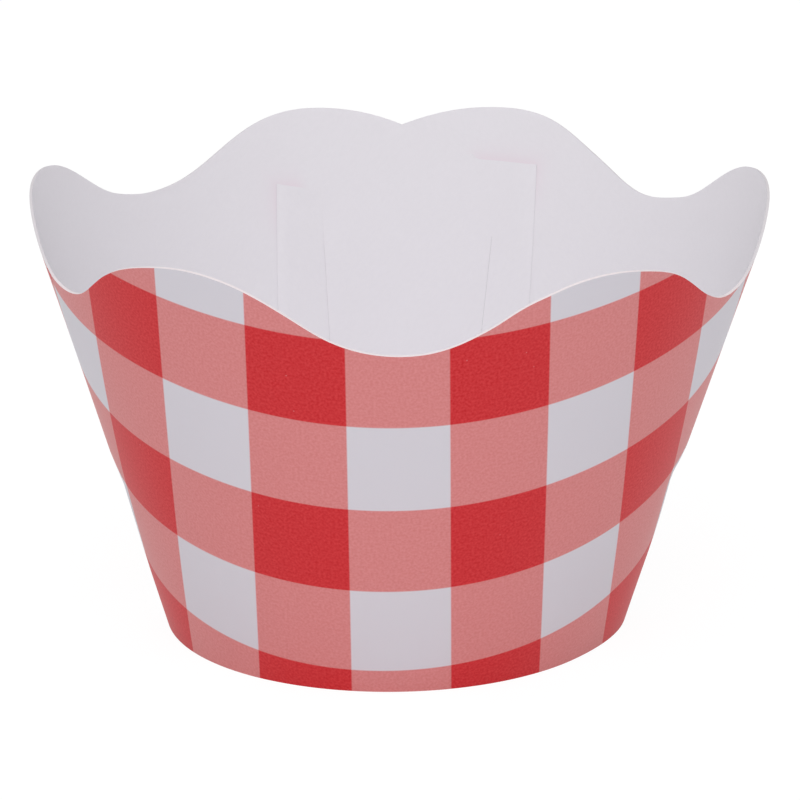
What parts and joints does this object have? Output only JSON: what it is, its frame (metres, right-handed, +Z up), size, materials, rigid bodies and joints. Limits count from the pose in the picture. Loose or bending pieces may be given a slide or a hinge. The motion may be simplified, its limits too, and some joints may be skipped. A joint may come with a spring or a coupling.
{
  "type": "cupcake wrapper",
  "caption": "Cone-shaped cupcake wrapper of gingham-printed card with a scalloped rim, open at both ends and hooked together at the back.",
  "frame": {"origin": "middle of the bounding box seen from above, in the plane that the base edge stands on", "axes": "+Z up, square to the base edge (the cone's axis leans 1.4 degrees from it towards +X); -Y towards the front, the middle of the strip; the lapped ends are at +Y"},
  "size_m": [0.0818, 0.0794, 0.0503],
  "materials": {
    "printed_card": "satin red and pink gingham print outside, uncoated white inside"
  },
  "bodies": {
    "root": {"wrapper": "printed_card"}
  },
  "joints": []
}
